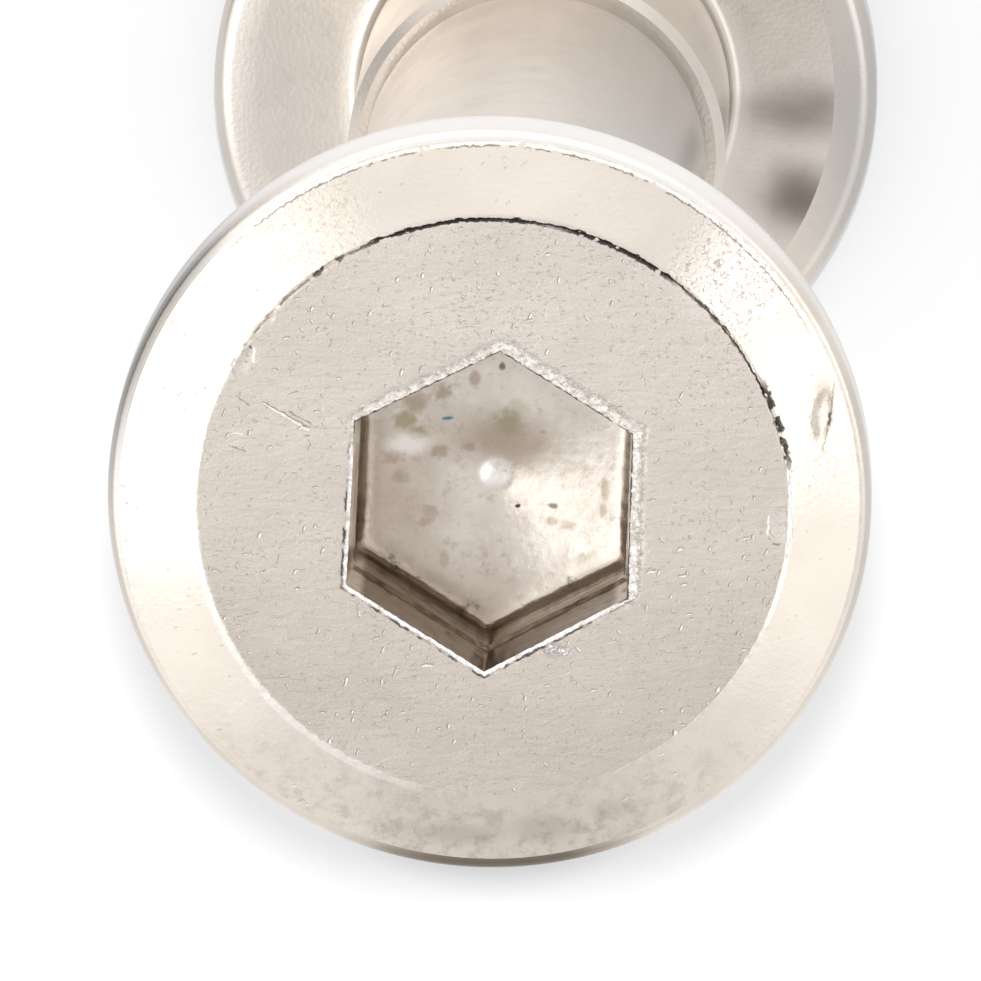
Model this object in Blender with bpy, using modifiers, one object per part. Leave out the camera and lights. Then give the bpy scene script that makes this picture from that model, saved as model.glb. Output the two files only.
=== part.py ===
# Skate axle bolt in two pieces: a headed barrel with an inner thread, and a headed screw that
# closes it. Both heads are alike: flat, bevelled, with a hex socket. Metres, +Z up the axle.
# The axle stands on the screw's head, and the origin is the middle of that head's outer face.

import math

import bmesh
import bpy
from mathutils import Matrix

MM = 0.001

# The two heads
HEAD_DIAMETER = 14.0 * MM
HEAD_THICKNESS = 2.0 * MM
FACE_DIAMETER = 10.86 * MM  # the flat inside the bevel
BEVEL_DEPTH = 0.53 * MM
RIM_FRONT_ROUND = 0.22 * MM  # between the bevel and the side of the head
RIM_BACK_ROUND = 0.40 * MM  # between the side of the head and its underside
ROOT_FILLET = 0.25 * MM  # where a shank meets the underside of its head

# The hex socket in each head, for a 5 mm key
SOCKET_FLATS_MOUTH = 5.20 * MM
SOCKET_FLATS_FLOOR = 4.98 * MM
SOCKET_DEPTH = 2.30 * MM  # to the edge of the floor
SOCKET_RIDGE_DEPTH = 1.20 * MM  # where the walls step in, all round
SOCKET_RIDGE_STEP = 0.05 * MM
SOCKET_FLOOR_CORNER = 0.24 * MM  # between the walls and the floor
SOCKET_LEAD_IN = 0.11 * MM  # crushed edge round the mouth, as deep as it is wide
FLOOR_SLOPE_DEG = 9.0  # the floor falls to its middle
NUB_DIAMETER = 0.64 * MM  # raised pip in the middle of the floor
NUB_HEIGHT = 0.20 * MM
BARREL_SOCKET_TURN_DEG = -2.7  # a corner points along +Y before this turn
SCREW_SOCKET_TURN_DEG = 14.0

# The shanks
GRIP = 34.0 * MM  # between the undersides of the two heads
SHOULDER_DIAMETER = 7.8 * MM
SHOULDER_LENGTH = 6.2 * MM
SHOULDER_CHAMFER = 0.20 * MM
BARREL_DIAMETER = 7.0 * MM
BARREL_END_CHAMFER = 0.30 * MM
SEAT_GAP = 0.30 * MM  # between the barrel's end and the screw's shoulder

# The thread, plain here at its crest
THREAD_DIAMETER = 4.92 * MM
THREAD_LENGTH = 14.0 * MM  # from the shoulder to the tip, with the relief
THREAD_CLEARANCE = 0.20 * MM  # radial
RELIEF_DIAMETER = 4.0 * MM
RELIEF_LENGTH = 0.9 * MM
TIP_CHAMFER = 0.5 * MM
BORE_BEYOND_TIP = 2.5 * MM
BORE_COUNTERSINK = 0.35 * MM
DRILL_POINT_DEG = 118.0

# Facets
TURN_STEPS = 72
ARC_STEPS = 4
FINE_TURN_STEPS = 36  # round features of the sockets
CUT_OVERRUN = 1.0 * MM  # how far a cutter stands out of the face
SHARP_FROM_DEG = 24

# Heights worked out from the sizes
TOTAL_LENGTH = GRIP + 2 * HEAD_THICKNESS
SHOULDER_TOP = HEAD_THICKNESS + SHOULDER_LENGTH
THREAD_TIP = SHOULDER_TOP + THREAD_LENGTH
BARREL_END = SHOULDER_TOP + SEAT_GAP


def clear_scene():
    for old in list(bpy.data.objects):
        bpy.data.objects.remove(old)


def new_collection(name, parent):
    made = bpy.data.collections.new(name)
    parent.children.link(made)
    return made


def new_object(name, mesh, collection):
    made = bpy.data.objects.new(name, mesh)
    collection.objects.link(made)
    return made


def plated_metal(name, colour, roughness):
    made = bpy.data.materials.new(name)
    made.use_nodes = True
    shader = made.node_tree.nodes["Principled BSDF"]
    shader.inputs["Base Color"].default_value = (*colour, 1.0)
    shader.inputs["Metallic"].default_value = 1.0
    shader.inputs["Roughness"].default_value = roughness
    return made


def arc(centre_r, centre_z, radius, from_deg, to_deg):
    """Points (r, z) on an arc, both ends included; 0 degrees points outward and 90 up."""
    points = []
    for step in range(ARC_STEPS + 1):
        angle = math.radians(from_deg + (to_deg - from_deg) * step / ARC_STEPS)
        points.append((centre_r + radius * math.cos(angle), centre_z + radius * math.sin(angle)))
    return points


def upper_head_profile(face_z, shank_radius):
    """A head with its face up, from the middle of the face out, round the rim, and in to its shank."""
    rim = HEAD_DIAMETER / 2
    side_top = face_z - BEVEL_DEPTH - RIM_FRONT_ROUND
    underside = face_z - HEAD_THICKNESS
    points = [(0.0, face_z), (FACE_DIAMETER / 2, face_z)]
    points += arc(rim - RIM_FRONT_ROUND, side_top, RIM_FRONT_ROUND, 90, 0)
    points += arc(rim - RIM_BACK_ROUND, underside + RIM_BACK_ROUND, RIM_BACK_ROUND, 0, -90)
    points += arc(shank_radius + ROOT_FILLET, underside - ROOT_FILLET, ROOT_FILLET, 90, 180)
    return points


def lower_head_profile(face_z, shank_radius):
    """The same head with its face down, from its shank out, round the rim, and in to the face."""
    over = upper_head_profile(0.0, shank_radius)
    return [(r, face_z - z) for r, z in reversed(over)]


def barrel_profile():
    outer = BARREL_DIAMETER / 2
    bore = THREAD_DIAMETER / 2 + THREAD_CLEARANCE
    bore_top = THREAD_TIP + BORE_BEYOND_TIP
    point_height = bore / math.tan(math.radians(DRILL_POINT_DEG / 2))
    points = upper_head_profile(TOTAL_LENGTH, outer)
    points += [
        (outer, BARREL_END + BARREL_END_CHAMFER),
        (outer - BARREL_END_CHAMFER, BARREL_END),
        (bore + BORE_COUNTERSINK, BARREL_END),
        (bore, BARREL_END + BORE_COUNTERSINK),
        (bore, bore_top),
        (0.0, bore_top + point_height),
    ]
    return points


def screw_profile():
    crest = THREAD_DIAMETER / 2
    relief = RELIEF_DIAMETER / 2
    shoulder = SHOULDER_DIAMETER / 2
    points = [
        (0.0, THREAD_TIP),
        (crest - TIP_CHAMFER, THREAD_TIP),
        (crest, THREAD_TIP - TIP_CHAMFER),
        (crest, SHOULDER_TOP + RELIEF_LENGTH + crest - relief),
        (relief, SHOULDER_TOP + RELIEF_LENGTH),
        (relief, SHOULDER_TOP),
        (shoulder - SHOULDER_CHAMFER, SHOULDER_TOP),
        (shoulder, SHOULDER_TOP - SHOULDER_CHAMFER),
    ]
    return points + lower_head_profile(0.0, shoulder)


def socket_floor_profile():
    """The room over a socket's floor, for a face at height 0: it narrows to nothing on the axis."""
    reach = SOCKET_FLATS_MOUTH  # past the corners of the hexagon
    slope = math.tan(math.radians(FLOOR_SLOPE_DEG))
    edge = SOCKET_FLATS_FLOOR / 2
    nub = NUB_DIAMETER / 2
    nub_foot = -SOCKET_DEPTH - slope * (edge - nub)
    points = [(0.0, CUT_OVERRUN), (reach, CUT_OVERRUN), (reach, -SOCKET_DEPTH + slope * (reach - edge))]
    for step in range(ARC_STEPS + 1):
        angle = math.radians(90 * step / ARC_STEPS)
        points.append((nub * math.cos(angle), nub_foot + NUB_HEIGHT * math.sin(angle)))
    points[-1] = (0.0, nub_foot + NUB_HEIGHT)
    return points


def turned(name, profile, steps, collection):
    """A solid of revolution about Z from a profile of (r, z) points."""
    mesh = bpy.data.meshes.new(name)
    edges = [(i, i + 1) for i in range(len(profile) - 1)]
    mesh.from_pydata([(r, 0.0, z) for r, z in profile], edges, [])
    made = new_object(name, mesh, collection)
    spin = made.modifiers.new("Turn", "SCREW")
    spin.axis = "Z"
    spin.steps = steps
    spin.render_steps = steps
    spin.use_merge_vertices = True
    spin.merge_threshold = 1e-6
    spin.use_smooth_shade = True
    return made


def hex_plug(name, levels, collection):
    """A six-sided plug through (width across flats, height) levels, from the lowest up."""
    to_corner = 1 / math.sqrt(3)
    plug = bmesh.new()
    loops = []
    for flats, z in levels:
        place = Matrix.Translation((0, 0, z))
        made = bmesh.ops.create_circle(plug, segments=6, radius=flats * to_corner, matrix=place)
        loops.append(made["verts"])
    for low, high in zip(loops, loops[1:]):
        for i in range(6):
            j = (i + 1) % 6
            plug.faces.new((low[i], low[j], high[j], high[i]))
    plug.faces.new(reversed(loops[0]))
    plug.faces.new(loops[-1])
    bmesh.ops.recalc_face_normals(plug, faces=plug.faces)
    mesh = bpy.data.meshes.new(name)
    plug.to_mesh(mesh)
    plug.free()
    return new_object(name, mesh, collection)


def socket_levels():
    """Widths across flats and heights down the socket, for a face at height 0, lowest first."""
    draft = (SOCKET_FLATS_MOUTH - SOCKET_FLATS_FLOOR - 2 * SOCKET_RIDGE_STEP) / SOCKET_DEPTH
    over_ridge = SOCKET_FLATS_MOUTH - draft * SOCKET_RIDGE_DEPTH
    floor_corner = SOCKET_FLATS_FLOOR - 2 * SOCKET_FLOOR_CORNER
    corner_z = -SOCKET_DEPTH - SOCKET_FLOOR_CORNER * math.tan(math.radians(FLOOR_SLOPE_DEG))
    return [
        (floor_corner, -SOCKET_DEPTH - CUT_OVERRUN),
        (floor_corner, corner_z),
        (SOCKET_FLATS_FLOOR, SOCKET_FLOOR_CORNER - SOCKET_DEPTH),
        (over_ridge - 2 * SOCKET_RIDGE_STEP, -SOCKET_RIDGE_DEPTH - SOCKET_RIDGE_STEP),
        (over_ridge, -SOCKET_RIDGE_DEPTH),
        (SOCKET_FLATS_MOUTH, 0.0),
        (SOCKET_FLATS_MOUTH, CUT_OVERRUN / 2),
    ]


def socket_cutters(name, cutters):
    """The socket's body and the crushed edge round its mouth, for a face at height 0 facing up."""
    body = hex_plug(name + "_socket", socket_levels(), cutters)
    floor = turned(name + "_socket_floor", socket_floor_profile(), FINE_TURN_STEPS, cutters)
    trim = body.modifiers.new("Floor", "BOOLEAN")
    trim.operation = "INTERSECT"
    trim.object = floor
    lead_in_levels = [
        (SOCKET_FLATS_MOUTH, -SOCKET_LEAD_IN),
        (SOCKET_FLATS_MOUTH + 2 * (SOCKET_LEAD_IN + CUT_OVERRUN), CUT_OVERRUN),
    ]
    lead_in = hex_plug(name + "_lead_in", lead_in_levels, cutters)
    return [body, floor, lead_in]


def cut_socket(piece, face_z, facing_up, turn_deg, cutters):
    body, floor, lead_in = socket_cutters(piece.name, cutters)
    holder = bpy.data.objects.new(piece.name + "_socket_place", None)
    cutters.objects.link(holder)
    for cutter in (body, floor, lead_in):
        cutter.parent = holder
        cutter.hide_render = True
        cutter.display_type = "WIRE"
    holder.location = (0, 0, face_z)
    holder.rotation_euler = (0 if facing_up else math.pi, 0, math.radians(turn_deg))
    for cutter in (lead_in, body):
        cut = piece.modifiers.new("Cut " + cutter.name, "BOOLEAN")
        cut.operation = "DIFFERENCE"
        cut.solver = "EXACT"
        cut.object = cutter


def finish(piece, material):
    """Applies the turn and the cuts, so that the piece's real edges can be marked sharp."""
    graph = bpy.context.evaluated_depsgraph_get()
    profile = piece.data
    piece.data = bpy.data.meshes.new_from_object(piece.evaluated_get(graph))
    piece.modifiers.clear()
    bpy.data.meshes.remove(profile)
    piece.data.name = piece.name
    piece.data.materials.clear()
    piece.data.materials.append(material)
    piece.data.shade_smooth()
    piece.data.set_sharp_from_angle(angle=math.radians(SHARP_FROM_DEG))


def main():
    clear_scene()
    parts = new_collection("skate_axle_bolt", bpy.context.scene.collection)
    cutters = new_collection("cutters", bpy.context.scene.collection)
    cutters.hide_render = True

    screw = turned("axle_screw", screw_profile(), TURN_STEPS, parts)
    cut_socket(screw, 0.0, False, SCREW_SOCKET_TURN_DEG, cutters)
    finish(screw, plated_metal("screw_nickel", (0.66, 0.63, 0.59), 0.28))

    barrel = turned("axle_barrel", barrel_profile(), TURN_STEPS, parts)
    cut_socket(barrel, TOTAL_LENGTH, True, BARREL_SOCKET_TURN_DEG, cutters)
    finish(barrel, plated_metal("barrel_nickel", (0.68, 0.65, 0.61), 0.30))


main()
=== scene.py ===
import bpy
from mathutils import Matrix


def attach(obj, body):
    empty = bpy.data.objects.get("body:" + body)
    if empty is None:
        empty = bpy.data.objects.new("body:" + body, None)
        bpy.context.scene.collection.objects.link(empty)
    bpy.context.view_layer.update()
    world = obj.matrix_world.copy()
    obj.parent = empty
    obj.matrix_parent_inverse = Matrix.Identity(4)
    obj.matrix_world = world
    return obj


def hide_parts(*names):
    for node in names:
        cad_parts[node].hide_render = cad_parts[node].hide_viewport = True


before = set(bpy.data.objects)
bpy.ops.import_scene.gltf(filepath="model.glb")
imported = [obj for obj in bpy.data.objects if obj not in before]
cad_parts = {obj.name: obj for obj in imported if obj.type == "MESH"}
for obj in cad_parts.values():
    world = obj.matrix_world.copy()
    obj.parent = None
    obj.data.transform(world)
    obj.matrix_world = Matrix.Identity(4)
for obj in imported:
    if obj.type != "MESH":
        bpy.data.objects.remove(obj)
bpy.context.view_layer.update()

import math

import bmesh
import bpy
from mathutils import Matrix, Vector, noise

mm = 0.001
print("frame loaded:", sorted(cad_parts))

headShape = {
    "radius": 7.0,
    "thickness": 2.0,
    "faceRadius": 5.41,
    "bevelDepth": 0.53,
    "frontRound": 0.22,
    "backRound": 0.40,
    "rootFillet": 0.25,
    "edgeGroove": 0.035,
    "faceStart": 3.14,
    "underStart": 6.1,
    "shiftEnd": (5.6, 6.7),  # radii between which the face's shift off the axle's middle ends
    "sharpDeg": 38,
}

socketShape = {
    "mouth": 2.60,  # half widths across the flats
    "ridgeOut": 2.568,
    "ridgeIn": 2.520,
    "floor": 2.49,
    "ridgeDepth": 1.20,
    "ridgeRun": 0.08,
    "depth": 2.30,
    "floorFillet": 0.30,
    "floorSlope": math.tan(math.radians(9)),
    "nubRadius": 0.38,
    "nubHeight": 0.08,
    "lipEnd": 3.08,
    "roundEnd": 4.4,  # past this the face's rings are circles
    "floorCorner": 9,  # sharpness of the hexagon's corners
    "ridgeCorner": 120,
    "mouthCorner": 300,
    "mouthEnd": (0.5, 2.2),  # depths between which the mouth's own outline turns into a plain hexagon
    "crushedWall": 0.3,  # depth of the wall that is crushed with the mouth
}

ringCounts = {"nub": 10, "floor": 14, "lowerWall": 7, "upperWall": 8, "face": 22, "bevel": 15}


def smoothStep(low, high, value):
    share = min(1.0, max(0.0, (value - low) / (high - low)))
    return share * share * (3 - 2 * share)


def steps(first, last, count):
    return [first + (last - first) * i / (count - 1) for i in range(count)]


def ring(r, depth, zone, hexShare=0.0, corner=60, cone=0.0):
    # one circle of the turned outline; depth is measured from the head's face
    place = {"r": round(r, 3), "depth": round(depth, 3)}
    return {**place, "zone": zone, "hex": hexShare, "corner": corner, "cone": cone}


def coneDepth(r):
    return socketShape["depth"] + socketShape["floorSlope"] * (socketShape["floor"] - r)


def socketRings():
    # from the nub at the floor's middle up to the end of the lip round the mouth
    s = socketShape
    rings = []
    for share in steps(0, 1, ringCounts["nub"]):
        lift = s["nubHeight"] * (0.5 + 0.5 * math.cos(math.pi * share))
        r = s["nubRadius"] * share
        rings.append(ring(r, coneDepth(r) - lift, "floor"))
    flatEnd = s["floor"] - s["floorFillet"]
    for r in steps(s["nubRadius"] + 0.10, flatEnd, ringCounts["floor"]):
        share = smoothStep(0.5, flatEnd, r)
        rings.append(ring(r, coneDepth(r), "floor", share, s["floorCorner"], 1.0))
    for deg in (15, 30, 45, 60, 75, 90):
        a = math.radians(deg)
        r = flatEnd + s["floorFillet"] * math.sin(a)
        lift = s["floorFillet"] * (1 - math.cos(a))
        depth = s["depth"] + s["floorSlope"] * s["floorFillet"] - lift
        rings.append(ring(r, depth, "wall", 1, s["floorCorner"] + deg / 2, 1 - deg / 120))
    low, high = s["ridgeDepth"] + s["ridgeRun"], s["ridgeDepth"]
    for depth in steps(s["depth"] - s["floorFillet"] - 0.15, low, ringCounts["lowerWall"]):
        share = (s["depth"] - depth) / (s["depth"] - low)
        r = s["floor"] + (s["ridgeIn"] - s["floor"]) * share
        rings.append(ring(r, depth, "wall", 1, s["ridgeCorner"], 0.2))
    for depth in steps(high, 0.14, ringCounts["upperWall"]):
        share = (high - depth) / high
        r = s["ridgeOut"] + (s["mouth"] - s["ridgeOut"]) * share
        rings.append(ring(r, depth, "wall", 1, s["mouthCorner"]))
    rings.append(ring(s["mouth"], 0.05, "wall", 1, s["mouthCorner"]))
    for off in (0, 0.03, 0.06, 0.10, 0.15, 0.20, 0.25, 0.30, 0.35, 0.41, s["lipEnd"] - s["mouth"]):
        rings.append(ring(s["mouth"] + off, 0.0, "lip", 1, s["mouthCorner"]))
    return rings


def headRings(shankRadius):
    # the socket, then the face, bevel, rim and underside, and the fillet down to the shank
    h = headShape
    rings = socketRings()
    for r in steps(h["faceStart"], h["faceRadius"] - 0.14, ringCounts["face"]):
        rings.append(ring(r, 0, "face", 1 - smoothStep(socketShape["lipEnd"], socketShape["roundEnd"], r)))
    outer = h["radius"] - h["frontRound"]
    slope = h["bevelDepth"] / (outer - h["faceRadius"])
    for off in (-0.10, -0.07, -0.045, -0.02, 0.0, 0.02, 0.04, 0.06, 0.09, 0.13):
        zone = "face" if off < -0.01 else "bevel"
        rings.append(ring(h["faceRadius"] + off, max(0.0, off) * slope, zone))
    for r in steps(h["faceRadius"] + 0.20, outer - 0.07, ringCounts["bevel"]) + [outer - 0.045, outer - 0.02]:
        rings.append(ring(r, slope * (r - h["faceRadius"]), "bevel"))
    for deg in (90, 78, 66, 54, 42, 30, 15, 0):
        a = math.radians(deg)
        depth = h["bevelDepth"] + h["frontRound"] * (1 - math.sin(a))
        rings.append(ring(outer + h["frontRound"] * math.cos(a), depth, "rim"))
    back = h["thickness"] - h["backRound"]
    rings.append(ring(h["radius"], (h["bevelDepth"] + h["frontRound"] + back) / 2, "rim"))
    for deg in (0, 18, 36, 54, 72, 90):
        a = math.radians(deg)
        r = h["radius"] - h["backRound"] * (1 - math.cos(a))
        rings.append(ring(r, back + h["backRound"] * math.sin(a), "rim"))
    for r in steps(h["underStart"], shankRadius + h["rootFillet"] + 0.3, 4):
        rings.append(ring(r, h["thickness"], "under"))
    for deg in (90, 112, 135, 158, 180):
        a = math.radians(deg)
        r = shankRadius + h["rootFillet"] * (1 + math.cos(a))
        depth = h["thickness"] + h["rootFillet"] * (1 - math.sin(a))
        rings.append(ring(r, depth, "under" if deg < 180 else "shank"))
    return rings


def spunOutline(rings, count, cornerDeg):
    # the outline as a column of vertices over a socket corner, spun once round the axle
    bm = bmesh.new()
    a = math.radians(cornerDeg)
    column = []
    for circle in rings:
        place = (circle["r"] * math.cos(a), circle["r"] * math.sin(a), -circle["depth"])
        column.append(bm.verts.new(place))
    outline = [bm.edges.new(pair) for pair in zip(column, column[1:])]
    turn = {"cent": (0, 0, 0), "axis": (0, 0, 1), "angle": math.tau, "steps": count, "use_merge": True}
    bmesh.ops.spin(bm, geom=column + outline, **turn)
    bmesh.ops.remove_doubles(bm, verts=bm.verts, dist=1e-4)
    bmesh.ops.recalc_face_normals(bm, faces=bm.faces)
    return bm


def ringKey(v):
    # r and depth of a vertex, rounded as in its ring
    return (round(math.hypot(v.co.x, v.co.y), 3), round(-v.co.z, 3))


def hexReach(angle, corner):
    # radius of a hexagon of half width 1, its corners rounded by a soft minimum of the sides
    fromFlat = abs(angle % (math.pi / 3) - math.pi / 6)
    return (math.cos(fromFlat) ** corner + math.cos(math.pi / 3 - fromFlat) ** corner) ** (-1 / corner)


def roundNoise(angle, scale, seed):
    return noise.noise(Vector((scale * math.cos(angle), scale * math.sin(angle), seed)))


dentProfile = {
    "bottom": 0.5,  # shares of the dent's size: its flat bottom, its lip's crest and width
    "lipCrest": 1.15,
    "lipWidth": 0.22,
    "ragged": 0.25,
    "raggedScale": 4,
}


def dentPush(x, y, dent):
    # how far a dent pushes the surface in at (x, y), with its thrown-up lip
    p = dentProfile
    turn = math.radians(dent["turn"])
    dx, dy = x - dent["x"], y - dent["y"]
    along = (dx * math.cos(turn) + dy * math.sin(turn)) / dent["long"]
    across = (dy * math.cos(turn) - dx * math.sin(turn)) / dent["wide"]
    ragged = p["ragged"] * noise.noise(Vector((x * p["raggedScale"], y * p["raggedScale"], 5.0)))
    far = math.hypot(along, across) * (1 + ragged)
    hollow = dent["deep"] * (1 - smoothStep(p["bottom"], 1.0, far))
    return hollow - dent["lip"] * math.exp(-((far - p["lipCrest"]) / p["lipWidth"]) ** 2)


def mouthReach(angle, sides):
    # radius of the mouth, whose sides are given by their angles and distances
    return min(half / max(0.2, math.cos(angle - math.radians(deg))) for deg, half in sides)


def shapedHead(bm, rings, head, wear):
    # turns the socket's circles into hexagons, then wears the surface
    table = {(circle["r"], circle["depth"]): circle for circle in rings}
    corner = math.radians(head["cornerDeg"])
    for v in bm.verts:
        circle = table.get(ringKey(v))
        if circle is None:
            continue
        angle = math.atan2(v.co.y, v.co.x)
        reach, depth, east = circle["r"], circle["depth"], 0.0
        low = smoothStep(*socketShape["mouthEnd"], depth)
        if circle["hex"] > 0:
            outline = hexReach(angle - corner, circle["corner"]) * low
            outline += mouthReach(angle, head["mouthSides"]) / socketShape["mouth"] * (1 - low)
            reach *= 1 + circle["hex"] * (outline - 1)
            depth -= circle["cone"] * socketShape["floorSlope"] * (reach - circle["r"])
        if circle["zone"] in ("floor", "wall"):
            east = head["floorEast"] * low
        elif circle["zone"] in ("face", "bevel"):
            fade = smoothStep(*headShape["shiftEnd"], circle["r"])
            east = head["faceEast"] * (1 - circle["hex"]) * (1 - fade)
        reach, depth = wear(angle, reach, depth, circle)
        v.co = (reach * math.cos(angle) + east, reach * math.sin(angle), -depth)


def zoneFaces(bm, rings, zoneNames):
    # each face takes the zone of the first of its two rings, before the shaping moves them
    order = {(circle["r"], circle["depth"]): i for i, circle in enumerate(rings)}
    for face in bm.faces:
        first = min(order[ringKey(v)] for v in face.verts)
        face.material_index = zoneNames.index(rings[first]["zone"])
        face.smooth = True


def pieceFrom(bm, name, materials, sharpDeg):
    bmesh.ops.scale(bm, vec=(mm, mm, mm), verts=bm.verts)
    mesh = bpy.data.meshes.new(name)
    bm.to_mesh(mesh)
    bm.free()
    for made in materials:
        mesh.materials.append(made)
    mesh.set_sharp_from_angle(angle=math.radians(sharpDeg))
    piece = bpy.data.objects.new(name, mesh)
    bpy.context.scene.collection.objects.link(piece)
    return piece


def put(tree, kind, inputs=(), **settings):
    made = tree.nodes.new(kind)
    for key, value in settings.items():
        setattr(made, key, value)
    for key, value in dict(inputs).items():
        if isinstance(value, bpy.types.NodeSocket):
            tree.links.new(value, made.inputs[key])
        else:
            made.inputs[key].default_value = value
    return made


def calc(tree, operation, first, second=0.0, clamp=False):
    return put(tree, "ShaderNodeMath", {0: first, 1: second}, operation=operation, use_clamp=clamp).outputs[0]


def times(tree, *values):
    total = values[0]
    for value in values[1:]:
        total = calc(tree, "MULTIPLY", total, value)
    return total


def rest(tree, value):
    return calc(tree, "SUBTRACT", 1.0, value)


def spread(tree, value, low, high, toLow=0.0, toHigh=1.0):
    inputs = {"Value": value, "From Min": low, "From Max": high, "To Min": toLow, "To Max": toHigh}
    return put(tree, "ShaderNodeMapRange", inputs, interpolation_type="SMOOTHSTEP").outputs[0]


def tint(tree, share, first, second):
    made = put(tree, "ShaderNodeMix", data_type="RGBA")
    for slot, value in ((0, share), (6, first), (7, second)):
        if isinstance(value, bpy.types.NodeSocket):
            tree.links.new(value, made.inputs[slot])
        elif slot:
            made.inputs[slot].default_value = (*value, 1.0)
        else:
            made.inputs[slot].default_value = value
    return made.outputs[2]


def vector(tree, operation, first, second, output=0):
    return put(tree, "ShaderNodeVectorMath", {0: first, 1: second}, operation=operation).outputs[output]


def grain(tree, where, scale, detail=2.0, rough=0.5, bend=0.0):
    inputs = {"Vector": where, "Scale": scale, "Detail": detail, "Roughness": rough, "Distortion": bend}
    return put(tree, "ShaderNodeTexNoise", inputs).outputs["Fac"]


def millimetres(tree):
    coords = put(tree, "ShaderNodeTexCoord").outputs["Object"]
    return vector(tree, "MULTIPLY", coords, (1000, 1000, 1000))


def warped(tree, where, scale, reach):
    # the same place pushed about by a noise, so that marks laid on it have ragged outlines
    inputs = {"Vector": where, "Scale": scale, "Detail": 3.0}
    ripple = put(tree, "ShaderNodeTexNoise", inputs).outputs["Color"]
    shift = vector(tree, "SUBTRACT", ripple, (0.5, 0.5, 0.5))
    shift = put(tree, "ShaderNodeVectorMath", {0: shift, "Scale": reach}, operation="SCALE").outputs[0]
    return vector(tree, "ADD", where, shift)


def lengthOf(tree, where):
    return put(tree, "ShaderNodeVectorMath", {0: where}, operation="LENGTH").outputs["Value"]


def split(tree, where):
    return put(tree, "ShaderNodeSeparateXYZ", {0: where}).outputs


def turnedBy(tree, where, angle):
    inputs = {"Vector": where, "Angle": angle}
    return put(tree, "ShaderNodeVectorRotate", inputs, rotation_type="Z_AXIS").outputs[0]


def spotShare(tree, where, x, y, wide, tall, soft):
    # an oval patch at (x, y), read across the head
    away = vector(tree, "SUBTRACT", where, (x, y, 0))
    far = lengthOf(tree, vector(tree, "MULTIPLY", away, (1 / wide, 1 / tall, 0)))
    return spread(tree, far, 1 - soft, 1 + soft, 1, 0)


def lineShare(tree, where, start, end, width):
    # a straight mark between two points on a head
    middle = ((start[0] + end[0]) / 2, (start[1] + end[1]) / 2, 0)
    run = (end[0] - start[0], end[1] - start[1])
    away = vector(tree, "SUBTRACT", where, middle)
    parts = split(tree, turnedBy(tree, away, -math.atan2(run[1], run[0])))
    along = calc(tree, "SUBTRACT", calc(tree, "ABSOLUTE", parts[0]), math.hypot(*run) / 2)
    inLength = spread(tree, along, -0.06, 0.02, 1, 0)
    off = calc(tree, "ABSOLUTE", parts[1])
    return times(tree, inLength, spread(tree, off, width * 0.3, width, 1, 0))


def sectorShare(tree, where, aimDeg, halfDeg, fadeDeg):
    # 1 within halfDeg of a direction round the axle, fading to 0
    flat = vector(tree, "MULTIPLY", where, (1, 1, 0))
    unit = put(tree, "ShaderNodeVectorMath", {0: flat}, operation="NORMALIZE").outputs[0]
    aim = (math.cos(math.radians(aimDeg)), math.sin(math.radians(aimDeg)), 0)
    near = vector(tree, "DOT_PRODUCT", unit, aim, "Value")
    return spread(tree, near, math.cos(math.radians(halfDeg + fadeDeg)), math.cos(math.radians(halfDeg)))


def arcShare(tree, where, arc):
    # a ragged line round the head
    jag = calc(tree, "SUBTRACT", grain(tree, where, 8, 4, 0.7), 0.5)
    moved = vector(tree, "SUBTRACT", where, (arc["east"], 0, 0))
    far = lengthOf(tree, vector(tree, "MULTIPLY", moved, (1, 1, 0)))
    far = calc(tree, "ADD", far, times(tree, jag, 2 * arc["jag"]))
    off = calc(tree, "ABSOLUTE", calc(tree, "SUBTRACT", far, arc["radius"]))
    line = spread(tree, off, arc["width"] * 0.5, arc["width"], 1, 0)
    run = sectorShare(tree, where, arc["aim"], arc["half"], arc["fade"])
    kept = spread(tree, grain(tree, where, 3.4, 2), arc["gaps"], arc["gaps"] + 0.05)
    return times(tree, line, run, kept, arc["share"])


def hexFar(tree, where, sides, widths, soft=0.001):
    # how far outside a hexagon's sides, counted in a width given for each side, with softened corners
    far = None
    for (deg, half), width in zip(sides, widths):
        a = math.radians(deg)
        along = vector(tree, "DOT_PRODUCT", where, (math.cos(a) / width, math.sin(a) / width, 0), "Value")
        beyond = calc(tree, "SUBTRACT", along, half / width)
        if far is not None:
            inputs = {0: far, 1: beyond, 2: soft}
            beyond = put(tree, "ShaderNodeMath", inputs, operation="SMOOTH_MAX").outputs[0]
        far = beyond
    return far


def crackle(tree, where, scale, width, share):
    # a net of fine lines: pieces of a noise's middle contour
    field = calc(tree, "SUBTRACT", grain(tree, where, scale, 1.5), 0.5)
    line = spread(tree, calc(tree, "ABSOLUTE", field), width * 0.35, width, 1, 0)
    return times(tree, line, spread(tree, grain(tree, where, scale * 1.3, 1), share, share + 0.05))


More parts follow.
